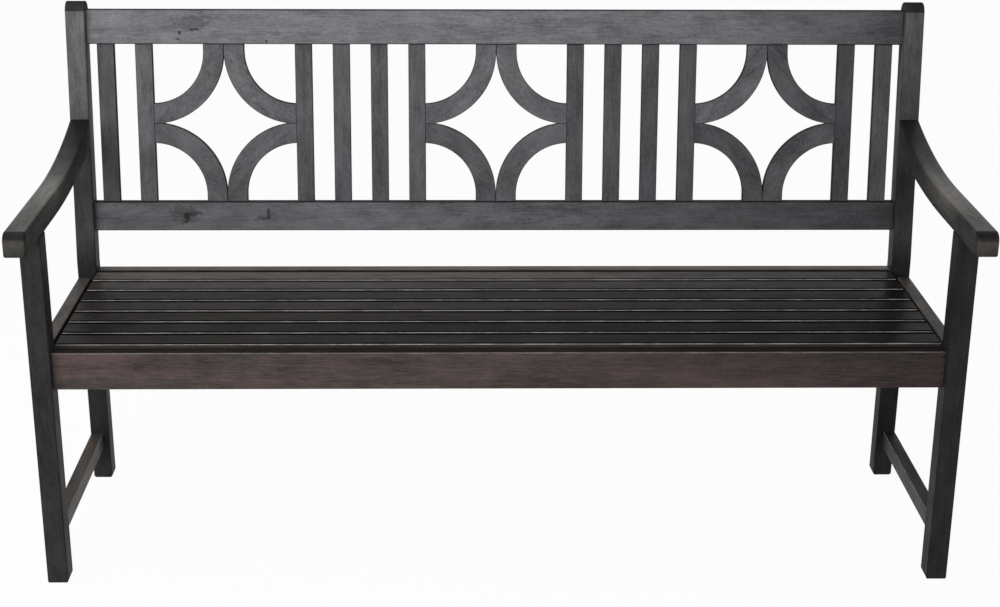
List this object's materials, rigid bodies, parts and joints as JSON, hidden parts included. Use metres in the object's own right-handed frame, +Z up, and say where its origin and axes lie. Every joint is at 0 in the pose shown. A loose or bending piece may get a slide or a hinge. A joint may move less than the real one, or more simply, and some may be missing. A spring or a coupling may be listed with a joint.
{
  "type": "outdoor bench",
  "caption": "Dark stained wooden garden bench with a raked openwork back, curved armrests and a slatted seat; seats people side by side outdoors.",
  "frame": {"origin": "on the ground under the middle of the bounding box", "axes": "+X along the bench to the right as seen from the front, -Y the way the sitter faces, +Z up"},
  "size_m": [1.5, 0.5861, 0.885],
  "materials": {
    "frame_wood": "semi-matt weathered grey-brown stain",
    "arm_wood": "semi-matt weathered grey-brown stain",
    "back_wood": "semi-matt weathered grey-brown stain",
    "seat_wood": "semi-matt weathered grey-brown stain",
    "dowel_wood": "plain dry wood",
    "zinc": "zinc plated"
  },
  "bodies": {
    "root": {"left_rear_post": "frame_wood", "left_front_leg": "frame_wood", "left_armrest": "arm_wood", "left_seat_side_rail": "frame_wood", "left_lower_stretcher": "frame_wood", "left_seat_cleat": "seat_wood", "right_rear_post": "frame_wood", "right_front_leg": "frame_wood", "right_armrest": "arm_wood", "right_seat_side_rail": "frame_wood", "right_lower_stretcher": "frame_wood", "right_seat_cleat": "seat_wood", "front_seat_rail": "seat_wood", "rear_seat_rail": "seat_wood", "centre_seat_bearer": "seat_wood", "lower_back_rail": "back_wood", "top_back_rail": "back_wood", "seat_slat_1": "seat_wood", "seat_slat_2": "seat_wood", "seat_slat_3": "seat_wood", "seat_slat_4": "seat_wood", "seat_slat_5": "seat_wood", "seat_slat_6": "seat_wood", "seat_slat_7": "seat_wood", "back_slat_1": "back_wood", "back_slat_2": "back_wood", "back_slat_3": "back_wood", "back_slat_4": "back_wood", "back_slat_5": "back_wood", "back_slat_6": "back_wood", "back_slat_7": "back_wood", "back_slat_8": "back_wood", "back_slat_9": "back_wood", "back_slat_10": "back_wood", "back_slat_11": "back_wood", "back_slat_12": "back_wood", "diamond_1_lower_left": "back_wood", "diamond_1_lower_right": "back_wood", "diamond_1_upper_left": "back_wood", "diamond_1_upper_right": "back_wood", "diamond_2_lower_left": "back_wood", "diamond_2_lower_right": "back_wood", "diamond_2_upper_left": "back_wood", "diamond_2_upper_right": "back_wood", "diamond_3_lower_left": "back_wood", "diamond_3_lower_right": "back_wood", "diamond_3_upper_left": "back_wood", "diamond_3_upper_right": "back_wood", "long_rail_dowels": "dowel_wood", "side_frame_dowels": "dowel_wood", "armrest_dowels": "dowel_wood", "diamond_dowels": "dowel_wood", "frame_bolts": "zinc", "bolt_washers": "zinc", "barrel_nuts": "zinc", "seat_slat_screws": "zinc", "cleat_screws": "zinc"}
  },
  "joints": []
}
